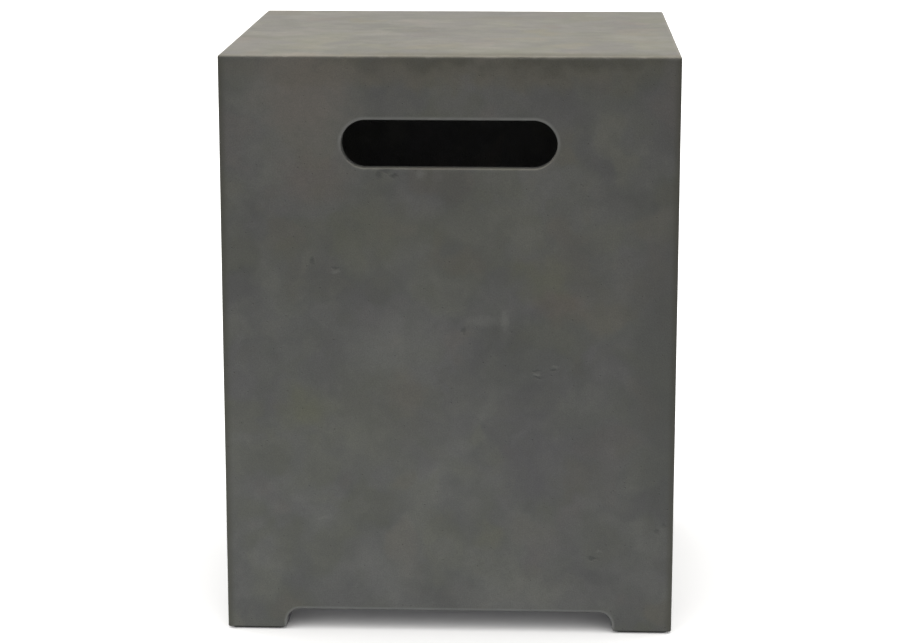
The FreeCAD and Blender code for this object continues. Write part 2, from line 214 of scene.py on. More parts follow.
def pinholeGroup():
    # small round air holes, 1 inside a hole; only some of the cells have one
    group, given, made = newGroup(
        "airHoles", {"Spacing": 0.02, "Hole Size": 0.0008, "Share": 0.3}, ["Holes"])
    cells = addNode(group, "ShaderNodeTexVoronoi", {"feature": "F1"},
                    {"Vector": given["Place"], "Scale": perUnit(group, given["Spacing"])}).outputs
    distance = mathNode(group, "MULTIPLY", cells["Distance"], given["Spacing"])
    chance = addNode(group, "ShaderNodeSeparateColor", None, {"Color": cells["Color"]}).outputs
    size = mathNode(group, "MULTIPLY_ADD", chance["Green"], given["Hole Size"], effects["smallestHole"])
    inside = smoothRange(group, distance, 0.0, size, 1.0, 0.0)
    chosen = mathNode(group, "LESS_THAN", chance["Red"], given["Share"])
    return endGroup(group, made, {"Holes": mathNode(group, "MULTIPLY", inside, chosen)})


def dustGroup():
    # fine dust that lies on what faces up and low down, broken into drifts
    group, given, made = newGroup("settledDust", {"Seed": 0.0, "Drift Size": 0.02}, ["Dust"])
    scale = perUnit(group, given["Drift Size"])
    drift = noiseNode(group, given["Place"], given["Seed"], scale, detail=5.0, roughness=0.6)[0]
    normal = group.nodes.new("ShaderNodeNewGeometry").outputs["Normal"]
    up = addNode(group, "ShaderNodeSeparateXYZ", None, {0: normal}).outputs[2]
    height = addNode(group, "ShaderNodeSeparateXYZ", None, {0: given["Place"]}).outputs[2]
    facing = smoothRange(group, up, 0.3, 0.95, 0.0, effects["dustOnTop"])
    low = smoothRange(group, height, effects["dustHeight"], 0.0, 0.0, effects["dustLow"])
    cover = mathNode(group, "MAXIMUM", facing, low)
    drifts = smoothRange(group, drift, 0.35, 0.68)
    return endGroup(group, made, {"Dust": mathNode(group, "MULTIPLY", cover, drifts)})


def trowelGroup():
    # long faint marks, as a trowel leaves them, slanted on every face
    group, given, made = newGroup(
        "trowelMarks", {"Direction": (0.64, 0.7, 0.31), "Mark Width": 0.004, "Seed": 0.0}, ["Marks"])
    along = vectorNode(group, "DOT_PRODUCT", given["Place"], given["Direction"])["Value"]
    stretch = mathNode(group, "MULTIPLY", along, effects["markStretch"])
    back = vectorNode(group, "MULTIPLY", given["Direction"], stretch)[0]
    place = vectorNode(group, "SUBTRACT", given["Place"], back)[0]
    scale = perUnit(group, given["Mark Width"])
    marks = noiseNode(group, place, given["Seed"], scale, detail=4.0, roughness=0.6, distortion=0.3)[0]
    return endGroup(group, made, {"Marks": smoothRange(group, marks, 0.42, 0.72)})


clouds = cloudGroup()
blotches = blotchGroup()
faceSpot = spotGroup()
grain = grainGroup()
airHoles = pinholeGroup()
settledDust = dustGroup()
trowelMarks = trowelGroup()


# The cast cement of the panels

coverBox = {
    "halfWidth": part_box("right_panel")[1].x,
    "halfDepth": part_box("back_panel")[1].y,
    "top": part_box("top_panel")[1].z,
    "ceiling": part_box("top_panel")[0].z,
    "bottom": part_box("front_panel")[0].z,
    "arris": 0.002,
    "arrisSteps": 6,
    "gridStep": 0.01,
    "unevenness": 0.00012,     # how far a cast face strays from true
    "unevenSize": 0.09,
    "unevenSeed": 7,
    "unevenDepth": 0.006,      # below the skin nothing strays
    "fineUneven": 0.4,         # a second, finer field, by its share and how much finer it is
    "fineRatio": 3.1,
    "skin": 0.0035,            # what lies no deeper and faces out has the face's finish
    "thinSkin": 0.0004,        # and what lies no deeper than this, whichever way it faces
}
coverBox["thickness"] = coverBox["top"] - coverBox["ceiling"]
noise.seed_set(coverBox["unevenSeed"])    # without it the field is another one in each run

handSlot = {
    "halfLength": 0.094,
    "radius": 0.02125,
    "middle": 0.443,
    "arcSteps": 24,
    "outsideLip": 0.0009,
    "insideLip": 0.0008,
    "rimPlace": 0.001,         # the pale rim's middle lies this far outside the slot; the pale rim is partly wear and partly painted highlight
    "lowerRimShare": 0.1,          # the slot's lower rim is less pale, with less wear and less painted highlight
}

hoseNotch = {
    "halfWidth": 0.1465,
    "top": 0.0195,
    "cornerRadius": 0.012,
    "cornerSteps": 8,
    "footRadius": 0.003,
    "lip": 0.0012,
    "rimPlace": 0.0006,
}

fixings = {
    "wallInset": 0.033,
    "wallHeights": (0.1, 0.39),
    "topReach": 0.17,
    "pocketHalf": 0.0047,
    "pocketDepth": 0.0111,
    "sheet": 0.002,            # the frame's steel, between panel and screw head
}


def arrisGroup():
    # 1 on the table top's edges, on the rims of the hand slot and the notch, and on the upright corners,
    # 0 past the reach of each. The edges and rims turn paler, partly wear and partly painted highlight; the
    # upright corners are darkened, which is painted shade
    group, given, made = newGroup(
        "edgeWearAndPaintedLight", {"Reach": 0.004, "Rim Reach": 0.002, "Corner Reach": 0.008},
        ["Edges", "Rims", "Corner Shade"])

    def pair(operation, first, second):
        return mathNode(group, operation, first, second)

    def edgeNear(gap, reach):
        return smoothRange(group, gap, 0.0, given[reach], 1.0, 0.0)

    place = vectorNode(group, "ABSOLUTE", given["Place"])[0]
    across, along, up = addNode(group, "ShaderNodeSeparateXYZ", None, {0: place}).outputs
    sideGap = pair("SUBTRACT", coverBox["halfWidth"], across)
    depthGap = pair("SUBTRACT", coverBox["halfDepth"], along)
    topGap = pair("SUBTRACT", coverBox["top"], up)
    smaller = pair("MINIMUM", sideGap, depthGap)
    upright = pair("MAXIMUM", sideGap, depthGap)
    upper = pair("MAXIMUM", smaller, topGap)

    # the hand slot's rim, front and back
    past = pair("MAXIMUM", pair("SUBTRACT", across, handSlot["halfLength"] - handSlot["radius"]), 0.0)
    above = pair("SUBTRACT", up, handSlot["middle"])
    reach = pair("ADD", pair("MULTIPLY", past, past), pair("MULTIPLY", above, above))
    reach = mathNode(group, "SQRT", reach)
    rim = pair("SUBTRACT", reach, handSlot["radius"] + handSlot["rimPlace"])
    slotRim = pair("MAXIMUM", mathNode(group, "ABSOLUTE", rim), depthGap)
    hands = smoothRange(group, above, -0.012, 0.006, handSlot["lowerRimShare"], 1.0)

    # the notch's outline in each wall, with its two rounded corners
    radius = hoseNotch["cornerRadius"]
    acrossNotch = pair("SUBTRACT", pair("MINIMUM", across, along), hoseNotch["halfWidth"] - radius)
    acrossNotch = pair("MAXIMUM", acrossNotch, 0.0)
    aboveNotch = pair("MAXIMUM", pair("SUBTRACT", up, hoseNotch["top"] - radius), 0.0)
    parts = addNode(group, "ShaderNodeCombineXYZ", None, {0: acrossNotch, 1: aboveNotch}).outputs[0]
    beyond = vectorNode(group, "LENGTH", parts)["Value"]
    rim = mathNode(group, "ABSOLUTE", pair("SUBTRACT", beyond, radius + hoseNotch["rimPlace"]))
    notchRim = pair("MAXIMUM", rim, smaller)

    rims = pair("MAXIMUM", pair("MULTIPLY", edgeNear(slotRim, "Rim Reach"), hands), edgeNear(notchRim, "Rim Reach"))
    # painted shade: the mask along the upright corners
    cornerShade = edgeNear(upright, "Corner Reach")
    return endGroup(group, made, {"Edges": edgeNear(upper, "Reach"), "Rims": rims, "Corner Shade": cornerShade})


edgeWearAndPaintedLight = arrisGroup()

cementLook = {
    "pale": colour(139, 139, 133),
    "dark": colour(99, 100, 96),
    # shade also darkens the upright corners, as painted shade
    "shade": colour(97, 96, 86),
    "olive": colour(122, 123, 98),
    "warm": colour(133, 118, 106),
    "mauve": colour(114, 110, 116),
    # edge and rim: paler colours for the top edges and the slot and notch rims, partly wear and partly
    # painted highlight
    "edge": colour(146, 145, 138),
    "rim": colour(154, 154, 149),
    # the air holes' colour, painted shade in the holes
    "holeShade": colour(78, 77, 73),
    "roughness": 0.7,
    "blotchRoughness": 0.08,
    "grainRoughness": 0.06,
    "gloss": 0.22,
    "cloudSize": 0.13,
    "blotchSize": 0.038,
    "fleckSize": 0.015,
    "mottleSize": 0.012,
    "grainSize": 0.0011,
    "trowelWidth": 0.0035,
    "waveSize": 0.03,
    "startTone": 0.05,         # from dark to pale, before the patterns add their shares
    "cloudShare": 0.2,
    "blotchShare": 0.42,
    "fleckShare": 0.2,
    "mottleShare": 0.16,
    "grainStart": 0.94,        # the grain darkens and lightens the tone from here
    "grainShare": 0.22,
    "trowelShare": 0.1,
    # how dark the painted shade along the upright corners gets
    "cornerShadeShare": 0.8,
    "holeShadeShare": 0.8,
    "edgeReach": 0.004,
    "rimReach": 0.0028,
    "cornerReach": 0.008,
    "edgeLightAndWear": (0.35, 0.8),   # the mottle breaks up the pale edges, partly wear and partly painted highlight, between these
    "rimLightAndWear": (0.7, 1.0),
    "trowelHeight": 0.12,
    "holeDepth": -1.4,
    "nicks": (0.55, 0.8),      # where the mottle reaches these, a worn edge is nicked
    "nickDepth": -0.9,
    "dentDepth": -1.0,
    "bump": (0.6, 0.0005),     # strength and height
}

# tints where a pattern calls for one: colour, pattern, its output, start, end, share
cementTints = [
    ("olive", "blotch", "Tint", 0.45, 0.9, 0.16),
    ("mauve", "blotch", "Tint", 0.55, 0.1, 0.2),
    ("warm", "blotch", "Warmth", 0.5, 0.95, 0.14),
    ("olive", "fleck", "Tint", 0.45, 0.9, 0.07),
    ("mauve", "fleck", "Warmth", 0.55, 0.1, 0.09),
]

# the inner side of the casting is coarser, with more air holes, and has no pale edges, which are partly wear
# and partly painted highlight, and no painted corner shade
castSides = {
    "face": {"spacing": 0.006, "holeSize": 0.0010, "holes": 0.4, "sand": 0.35, "trowel": 0.5},
    "raw": {"spacing": 0.0065, "holeSize": 0.0018, "holes": 0.5, "sand": 0.6, "trowel": 1.2},
}

# what stands out on the front panel: tone, share, place across and up, half width, half height
frontPatches = [
    ("pale", 0.88, -0.127, 0.486, 0.058, 0.052),
    ("warm", 0.34, -0.124, 0.485, 0.048, 0.050),
    ("pale", 0.25, -0.118, 0.410, 0.044, 0.045),
    ("warm", 0.25, -0.119, 0.415, 0.038, 0.035),
    ("olive", 0.3, 0.03, 0.508, 0.20, 0.022),
    ("warm", 0.2, 0.00, 0.510, 0.26, 0.020),
    ("shade", 0.8, 0.06, 0.521, 0.19, 0.016),
    ("pale", 0.35, 0.005, 0.483, 0.022, 0.018),
    ("mauve", 0.2, 0.005, 0.483, 0.022, 0.018),
    ("dark", 0.35, 0.004, 0.402, 0.018, 0.028),
    ("olive", 0.25, -0.055, 0.365, 0.052, 0.034),
    ("dark", 0.35, -0.105, 0.325, 0.042, 0.013),
    ("pale", 0.25, -0.030, 0.340, 0.032, 0.024),
    ("pale", 0.2, 0.036, 0.300, 0.026, 0.026),
    ("olive", 0.42, 0.081, 0.325, 0.030, 0.022),
    ("warm", 0.3, 0.099, 0.303, 0.022, 0.018),
    ("dark", 0.35, 0.117, 0.335, 0.03, 0.03),
    ("dark", 0.35, 0.12, 0.185, 0.035, 0.03),
    ("dark", 0.35, 0.2, 0.14, 0.035, 0.05),
    ("dark", 0.25, 0.12, 0.09, 0.035, 0.03),
    ("pale", 0.32, -0.046, 0.261, 0.052, 0.036),
    ("dark", 0.2, 0.062, 0.25, 0.052, 0.034),
    ("olive", 0.42, -0.131, 0.206, 0.026, 0.026),
    ("warm", 0.18, -0.037, 0.22, 0.022, 0.022),
    ("olive", 0.18, -0.07, 0.20, 0.07, 0.05),
    # painted shade: this dark spot runs down the right edge of the front
    ("dark", 0.6, 0.192, 0.25, 0.044, 0.17),
    ("dark", 0.25, -0.18, 0.16, 0.05, 0.03),
    ("dark", 0.2, -0.12, 0.16, 0.05, 0.03),
    ("dark", 0.2, 0.05, 0.16, 0.05, 0.03),
    ("mauve", 0.25, 0.09, 0.16, 0.06, 0.04),
    ("pale", 0.2, -0.011, 0.125, 0.04, 0.03),
    ("pale", 0.28, -0.167, 0.066, 0.020, 0.024),
    ("pale", 0.35, -0.051, 0.053, 0.034, 0.028),
    ("olive", 0.3, 0.038, 0.087, 0.016, 0.018),
    ("olive", 0.25, 0.075, 0.042, 0.04, 0.022),
    ("pale", 0.55, 0.06, 0.036, 0.07, 0.026),
]

# small dents and smears on the front panel, as above
frontMarks = [
    ("dark", 0.95, -0.055, 0.420, 0.0065, 0.0028),
    ("dark", 0.9, -0.061, 0.416, 0.0035, 0.0045),
    ("dark", 1.0, -0.048, 0.415, 0.0042, 0.0024),
    ("pale", 0.6, -0.025, 0.417, 0.0060, 0.0050),
    ("dark", 0.6, 0.077, 0.242, 0.0040, 0.0016),
    ("dark", 0.6, 0.078, 0.236, 0.0046, 0.0016),
    ("pale", 0.7, 0.077, 0.239, 0.0040, 0.0016),
    ("pale", 0.5, 0.093, 0.246, 0.0040, 0.0016),
    ("dark", 0.7, 0.092, 0.243, 0.0036, 0.0018),
    ("dark", 0.8, 0.128, 0.070, 0.0052, 0.0022),
    ("pale", 0.5, 0.134, 0.077, 0.0030, 0.0018),
    ("dark", 0.5, 0.191, 0.101, 0.0030, 0.0030),
    ("dark", 0.5, 0.185, 0.095, 0.0025, 0.0030),
    ("pale", 0.6, 0.049, 0.288, 0.0045, 0.0110),
    ("pale", 0.4, 0.028, 0.287, 0.0180, 0.0060),
    ("dark", 0.7, 0.013, 0.278, 0.0028, 0.0036),
    ("dark", 0.8, -0.120, 0.339, 0.0024, 0.0050),
    ("dark", 0.5, -0.100, 0.333, 0.0040, 0.0018),
    ("pale", 0.6, -0.099, 0.330, 0.0046, 0.0022),
]

# how far the spots' edges wander, how finely, and how deep the spots reach into the panel
patchEdges = {"wander": 0.045, "scale": 45.0, "detail": 3.0, "halfDeep": 0.03}
markEdges = {"wander": 0.005, "scale": 260.0, "detail": 2.0, "halfDeep": 0.01}


def addFrontSpots(tree, place, tone, spots, edges):
    # gives back the tone and the masks of the dark spots
    values = {"Vector": place, "Scale": edges["scale"], "Detail": edges["detail"]}
    wander = addNode(tree, "ShaderNodeTexNoise", None, values).outputs[1]
    ragged = shifted(tree, place, wander, (edges["wander"], 0, edges["wander"]))
    darkSpots = []
    for name, share, across, up, halfWide, halfHigh in spots:
        values = {"Place": ragged, "Middle": (across, -coverBox["halfDepth"], up),
                  "Size": (halfWide, edges["halfDeep"], halfHigh)}
        spot = useGroup(tree, faceSpot, values)[0]
        tone = mixColour(tree, mathNode(tree, "MULTIPLY", spot, share), tone, cementLook[name])
        if name == "dark":
            darkSpots.append(spot)
    return tone, darkSpots


def cementMaterial(name, side):
    look, cast, isFace = cementLook, castSides[side], side == "face"
    material, tree, shader, place = newMaterial(name)

    def pattern(group, values):
        return useGroup(tree, group, {"Place": place, **values})

    def share(amount, mask):
        return mathNode(tree, "MULTIPLY", mask, amount)

    def plus(mask, amount, start):
        return mathNode(tree, "MULTIPLY_ADD", mask, amount, start)

    broad = pattern(clouds, {"Patch Size": look["cloudSize"], "Seed": 3.1})[0]
    cells = {
        "blotch": pattern(blotches, {"Blotch Size": look["blotchSize"], "Seed": 8.4, "Softness": 0.85}),
        "fleck": pattern(blotches, {"Blotch Size": look["fleckSize"], "Seed": 15.2, "Softness": 0.8}),
    }
    mottle = pattern(clouds, {"Patch Size": look["mottleSize"], "Seed": 40.3, "Softness": 0.25,
                              "Detail": 5.0})[0]
    sand = pattern(grain, {"Grain Size": look["grainSize"], "Seed": 1.0})
    marks = pattern(trowelMarks, {"Mark Width": look["trowelWidth"], "Seed": 23.0})[0]
    holes = pattern(airHoles, {"Spacing": cast["spacing"], "Hole Size": cast["holeSize"],
                               "Share": cast["holes"]})[0]

    # tone from the clouds, the blotches and the flecks, then the tints, the spots and the fine patterns
    mixed = plus(broad, look["cloudShare"], look["startTone"])
    mixed = plus(cells["blotch"]["Tone"], look["blotchShare"], mixed)
    mixed = plus(cells["fleck"]["Tone"], look["fleckShare"], mixed)
    tone = mixColour(tree, mixed, look["dark"], look["pale"])
    for tint, source, output, start, end, amount in cementTints:
        tinted = smoothRange(tree, cells[source][output], start, end, 0.0, amount)
        tone = mixColour(tree, tinted, tone, look[tint])
    if isFace:
        tone = addFrontSpots(tree, place, tone, frontPatches, patchEdges)[0]
        tone, darkMarks = addFrontSpots(tree, place, tone, frontMarks, markEdges)
    tone = mixColour(tree, share(look["mottleShare"], mottle), tone, look["dark"])
    shade = plus(sand["Grain"], look["grainShare"], look["grainStart"])
    tone = mixColour(tree, 1.0, tone, shade, "MULTIPLY")
    tone = mixColour(tree, share(look["trowelShare"], marks), tone, look["dark"])
    if isFace:
        edgeNear = pattern(edgeWearAndPaintedLight, {"Reach": look["edgeReach"], "Rim Reach": look["rimReach"],
                                   "Corner Reach": look["cornerReach"]})
        # painted shade: the tone darkens towards the shade colour along the upright corners
        tone = mixColour(tree, share(look["cornerShadeShare"], edgeNear["Corner Shade"]), tone, look["shade"])
        # painted highlight and wear: the top edges and the slot and notch rims turn paler
        for part, paleRange, paler in (("Edges", "edgeLightAndWear", "edge"), ("Rims", "rimLightAndWear", "rim")):
            broken = smoothRange(tree, mottle, 0.0, 1.0, *look[paleRange])
            tone = mixColour(tree, share(broken, edgeNear[part]), tone, look[paler])
    # painted shade: the air holes are darkened
    tone = mixColour(tree, share(look["holeShadeShare"], holes), tone, look["holeShade"])

    rough = plus(cells["blotch"]["Tone"], look["blotchRoughness"], look["roughness"])
    rough = plus(sand["Grain"], look["grainRoughness"], rough)
    shader.inputs["Specular IOR Level"].default_value = look["gloss"]

    waves = pattern(clouds, {"Patch Size": look["waveSize"], "Seed": 52.0, "Softness": 0.4, "Detail": 2.0})[0]
    height = share(cast["sand"], sand["Height"])
    height = plus(waves, cast["trowel"], height)
    height = plus(marks, look["trowelHeight"], height)
    height = plus(holes, look["holeDepth"], height)
    if isFace:
        nicks = share(smoothRange(tree, mottle, *look["nicks"]), edgeNear["Edges"])
        height = plus(nicks, look["nickDepth"], height)
        dents = 0.0
        for mark in darkMarks:
            dents = mathNode(tree, "MAXIMUM", dents, mark)
        height = plus(dents, look["dentDepth"], height)
    finishSurface(tree, shader, tone, rough, height, *look["bump"])
    return material


castFace = cementMaterial("castCementFace", "face")
castRaw = cementMaterial("castCementRaw", "raw")

flush = 0.9999                     # a face looks along an axis when its normal comes this close
sharpAngle = math.radians(34)      # edges sharper than this stay sharp
merged = 1e-6                      # points closer than this are one
margin = 1e-4


def newObject(name, data):
    made = bpy.data.objects.new(name, data)
    bpy.context.scene.collection.objects.link(made)
    return made


def meshObject(name, bm):
    mesh = bpy.data.meshes.new(name)
    bm.to_mesh(mesh)
    bm.free()
    return newObject(name, mesh)


def quarterTurn(number, size=3):
    return Matrix.Rotation(math.radians(90 * number), size, "Z")


def everything(bm):
    return bm.verts[:] + bm.edges[:] + bm.faces[:]


def only(made, kind):
    return [item for item in made if isinstance(item, kind)]


def once(items):
    # each item once, in the order given
    return list(dict.fromkeys(items))


def edgesOf(verts):
    return once(edge for vert in verts for edge in vert.link_edges)


def roundEdges(bm, chosen, offset, segments):
    made = bmesh.ops.bevel(bm, geom=chosen, offset=offset, offset_type="OFFSET", segments=segments,
                           profile=0.5, affect="EDGES", material=-1)
    bm.normal_update()
    return made["faces"]


def coverBlock():
    # the whole cover's outside with its outer edges rounded
    bm = bmesh.new()
    box = coverBox
    bmesh.ops.create_cube(bm, size=1)
    size = (2 * box["halfWidth"], 2 * box["halfDepth"], box["top"] - box["bottom"])
    bmesh.ops.scale(bm, vec=size, verts=bm.verts)
    bmesh.ops.translate(bm, vec=(0, 0, (box["top"] + box["bottom"]) / 2), verts=bm.verts)
    low = box["bottom"] + margin
    outside = [edge for edge in bm.edges if any(vert.co.z > low for vert in edge.verts)]
    roundEdges(bm, outside, box["arris"], box["arrisSteps"])
    return bm


def cutAway(bm, point, normal, cap=True):
    # takes off what lies past the plane, and closes the cut
    made = bmesh.ops.bisect_plane(bm, geom=everything(bm), dist=merged, plane_co=point, plane_no=normal,
                                  clear_outer=True)
    if cap:
        bmesh.ops.holes_fill(bm, edges=only(made["geom_cut"], bmesh.types.BMEdge), sides=0)


def carve(bm, faces, planes):
    # splits flat faces by each plane in turn and gives back what lies inside them all
    core = faces
    for point, normal in planes:
        edges = once(edge for face in core for edge in face.edges)
        verts = once(vert for face in core for vert in face.verts)
        made = bmesh.ops.bisect_plane(bm, geom=core + edges + verts, dist=merged / 10,
                                      plane_co=point, plane_no=normal)
        faces = only(made["geom"], bmesh.types.BMFace)
        core = [face for face in faces if (face.calc_center_median() - point).dot(normal) < 0]
    return core


def arcPlanes(x, z, radius, first, last, steps):
    # planes that touch an arc about an axis along Y
    planes = []
    for step in range(steps + 1):
        angle = math.radians(first + (last - first) * step / steps)
        normal = Vector((math.cos(angle), 0, math.sin(angle)))
        planes.append((Vector((x, 0, z)) + normal * radius, normal))
    return planes


def openThrough(bm, core):
    # takes the carved faces out, lines the opening from rim to rim, and clears the cut lines around it
    before = {edge for edge in bm.edges if edge.is_boundary}
    bmesh.ops.delete(bm, geom=core, context="FACES")
    rims = []
    for edge in bm.edges:
        first, last = edge.verts
        if edge.is_boundary and edge not in before and abs(first.co.y - last.co.y) < merged:
            rims.append(edge)
    bmesh.ops.bridge_loops(bm, edges=rims)
    bm.normal_update()
    flat = []
    for edge in bm.edges:
        if len(edge.link_faces) == 2 and all(abs(face.normal.y) > flush for face in edge.link_faces):
            flat.append(edge)
    bmesh.ops.dissolve_edges(bm, edges=flat, use_verts=True)
    bm.normal_update()


def edgesBetween(bm, first, second):
    # edges with one face that passes the first test and another that passes the second
    found = []
    for edge in bm.edges:
        faces = edge.link_faces
        if len(faces) == 2:
            one, two = faces
            if (first(one) and second(two)) or (first(two) and second(one)):
                found.append(edge)
    return found


def wallShape(halfWidth, reach, slotted):
    # the right half of a wall that faces -Y, then its mirror image
    box, slot, notch = coverBox, handSlot, hoseNotch
    bm = coverBlock()
    inner = -reach + box["thickness"]
    corner = Vector((halfWidth, -reach, box["top"]))
    cutAway(bm, (0, inner, 0), Vector((0, 1, 0)))
    cutAway(bm, corner, Vector((1, 1, 0)).normalized())
    cutAway(bm, corner, Vector((0, 1, 1)).normalized())
    cutAway(bm, (0, 0, 0), Vector((-1, 0, 0)), cap=False)
    bm.normal_update()
    footHeight, notchHeight = box["bottom"] + margin, notch["top"] + margin

    def isFront(face):
        return face.normal.y < -flush

    def isInner(face):
        return face.normal.y > flush

    def isJamb(face):
        return face.normal.x < -flush and face.calc_center_median().z < notch["top"]

    def isUnder(face):
        return face.normal.z < -flush and face.calc_center_median().z < footHeight

    def isAcross(face):
        return abs(face.normal.y) < 0.01

    def isLow(face):
        # lines the notch or lies under a foot
        return isAcross(face) and face.calc_center_median().z < notchHeight and face.normal.z < 0.01

    def isTunnel(face):
        away = abs(face.calc_center_median().z - slot["middle"])
        return isAcross(face) and away < slot["radius"] + margin

    def isSkin(face):
        return face.normal.y < -0.6

    if slotted:
        straight = slot["halfLength"] - slot["radius"]
        planes = arcPlanes(straight, slot["middle"], slot["radius"], 90, -90, slot["arcSteps"])
        openThrough(bm, carve(bm, [face for face in bm.faces if isFront(face) or isInner(face)], planes))

    across = notch["halfWidth"] - notch["cornerRadius"]
    below = notch["top"] - notch["cornerRadius"]
    planes = arcPlanes(across, below, notch["cornerRadius"], 0, 90, notch["cornerSteps"])
    walls = [face for face in bm.faces if isFront(face) or isInner(face) or face.normal.z < -flush]
    walls = [face for face in walls if min(vert.co.z for vert in face.verts) < footHeight]
    openThrough(bm, carve(bm, walls, planes))

    roundEdges(bm, edgesBetween(bm, isJamb, isUnder), notch["footRadius"], 4)
    roundEdges(bm, edgesBetween(bm, isSkin, isLow), notch["lip"], 3)
    if slotted:
        roundEdges(bm, edgesBetween(bm, isFront, isTunnel), slot["outsideLip"], 5)
        roundEdges(bm, edgesBetween(bm, isInner, isTunnel), slot["insideLip"], 2)

    bmesh.ops.mirror(bm, geom=everything(bm), axis="X", merge_dist=merged)
    bmesh.ops.remove_doubles(bm, verts=bm.verts, dist=merged)
    bmesh.ops.recalc_face_normals(bm, faces=bm.faces)
    return bm


def topShape():
    box = coverBox
    bm = coverBlock()
    cutAway(bm, (0, 0, box["ceiling"]), Vector((0, 0, -1)))
    for axis, half in ((Vector((1, 0, 0)), box["halfWidth"]), (Vector((0, 1, 0)), box["halfDepth"])):
        for side in (axis, -axis):
            edge = side * half + Vector((0, 0, box["top"]))
            cutAway(bm, edge, (side - Vector((0, 0, 1))).normalized())
    bm.normal_update()
    return bm


def gridLines(low, high, extra):
    # evenly spread places for cuts, with the extra ones, none of them close to another
    step = coverBox["gridStep"]
    count = round((high - low) / step)
    lines = [low + (high - low) * number / count for number in range(1, count)]
    lines = [line for line in lines if all(abs(line - place) > step * 0.3 for place in extra)]
    return sorted(lines + list(extra))


def cutGrid(bm, axis, places):
    normal = Vector([float(index == axis) for index in range(3)])
    for place in places:
        bmesh.ops.bisect_plane(bm, geom=everything(bm), dist=merged, plane_co=normal * place,
                               plane_no=normal)


def sinkPockets(bm, spots, inward, plane):
    # square sockets in the inner face, which the cast-in inserts fill
    half = fixings["pocketHalf"]
    for spot in spots:
        cell = []
        for face in bm.faces:
            middle = face.calc_center_median()
            near = max(abs(a - b) for a, b in zip(middle, spot)) < half
            if near and face.normal.dot(inward) > 0.999 and abs((middle - plane).dot(inward)) < margin:
                cell.append(face)
        made = bmesh.ops.extrude_face_region(bm, geom=cell)
        moved = only(made["geom"], bmesh.types.BMVert)
        bmesh.ops.translate(bm, vec=-inward * fixings["pocketDepth"], verts=moved)
        bmesh.ops.delete(bm, geom=cell, context="FACES")


def outerGaps(place):
    # how far a place lies inside the cover's sides and top
    box = coverBox
    return box["halfWidth"] - abs(place.x), box["halfDepth"] - abs(place.y), box["top"] - place.z


def castUneven(bm):
    # the outer skin strays a little from true; neighbours share the field, so their mitres stay shut
    box = coverBox
    for vert in bm.verts:
        share = max(0.0, 1 - max(0.0, min(outerGaps(vert.co))) / box["unevenDepth"])
        wave = noise.noise_vector(vert.co / box["unevenSize"]) + \
            box["fineUneven"] * noise.noise_vector(vert.co / box["unevenSize"] * box["fineRatio"])
        vert.co += wave * box["unevenness"] * share
    bm.normal_update()


def newPiece(name, bm, materials):
    # the bmesh as an object, smooth but for its sharp edges, that rides on the body
    for edge in bm.edges:
        edge.smooth = edge.calc_face_angle(0) < sharpAngle
    for face in bm.faces:
        face.smooth = True
    piece = meshObject(name, bm)
    for material in materials:
        piece.data.materials.append(material)
    piece.modifiers.new("flatFaces", "WEIGHTED_NORMAL").keep_sharp = True
    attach(piece, "root")
    return piece


def panelPiece(name, bm, node):
    # the inner side, the mitres and the pockets are raw casting
    for face in bm.faces:
        middle = face.calc_center_median()
        gap = min(outerGaps(middle))
        outward = max(face.normal.x * math.copysign(1, middle.x), face.normal.y * math.copysign(1, middle.y),
                      face.normal.z)
        outside = gap < coverBox["skin"] and outward > 0.1 or gap < coverBox["thinSkin"]
        face.material_index = 0 if outside else 1
    piece = newPiece(name, bm, [castFace, castRaw])
    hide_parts(node)


def makeWall(side, quarters, halfWidth, reach, slotted):
    box = coverBox
    bm = wallShape(halfWidth, reach, slotted)
    half = fixings["pocketHalf"]
    across = halfWidth - fixings["wallInset"]
    sides = [sign * across + edge for sign in (-1, 1) for edge in (-half, half)]
    heights = [place + edge for place in fixings["wallHeights"] for edge in (-half, half)]
    cutGrid(bm, 0, gridLines(-halfWidth, halfWidth, sides))
    cutGrid(bm, 2, gridLines(box["bottom"], box["top"], heights))
    inner = -reach + box["thickness"]
    spots = [Vector((sign * across, inner, height)) for sign in (-1, 1)
             for height in fixings["wallHeights"]]
    bm.normal_update()
    sinkPockets(bm, spots, Vector((0, 1, 0)), Vector((0, inner, 0)))
    bmesh.ops.rotate(bm, cent=(0, 0, 0), matrix=quarterTurn(quarters), verts=bm.verts)
    castUneven(bm)
    panelPiece(f"{side}Panel", bm, f"{side}_panel")


def makeTop():
    box = coverBox
    bm = topShape()
    half, reach = fixings["pocketHalf"], fixings["topReach"]
    extra = [place + edge for place in (-reach, 0, reach) for edge in (-half, half)]
    cutGrid(bm, 0, gridLines(-box["halfWidth"], box["halfWidth"], extra))
    cutGrid(bm, 1, gridLines(-box["halfDepth"], box["halfDepth"], extra))
    spots = [Vector((x * reach, y * reach, box["ceiling"])) for x, y in ((1, 0), (-1, 0), (0, 1), (0, -1))]
    bm.normal_update()
    sinkPockets(bm, spots, Vector((0, 0, -1)), Vector((0, 0, box["ceiling"])))
    castUneven(bm)
    panelPiece("topPanel", bm, "top_panel")


halfWidth, halfDepth = coverBox["halfWidth"], coverBox["halfDepth"]
makeWall("front", 0, halfWidth, halfDepth, True)
makeWall("right", 1, halfDepth, halfWidth, False)
makeWall("back", 2, halfWidth, halfDepth, True)
makeWall("left", 3, halfDepth, halfWidth, False)
makeTop()
print("panels cast")


def finishPiece(name, bm, material, nodes):
    bmesh.ops.recalc_face_normals(bm, faces=bm.faces)
    piece = newPiece(name, bm, [material])
    if nodes:
        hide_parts(*nodes)
    return piece


# The welded steel frame: powder coat over the CAD angles, bars and plates, and weld beads between them

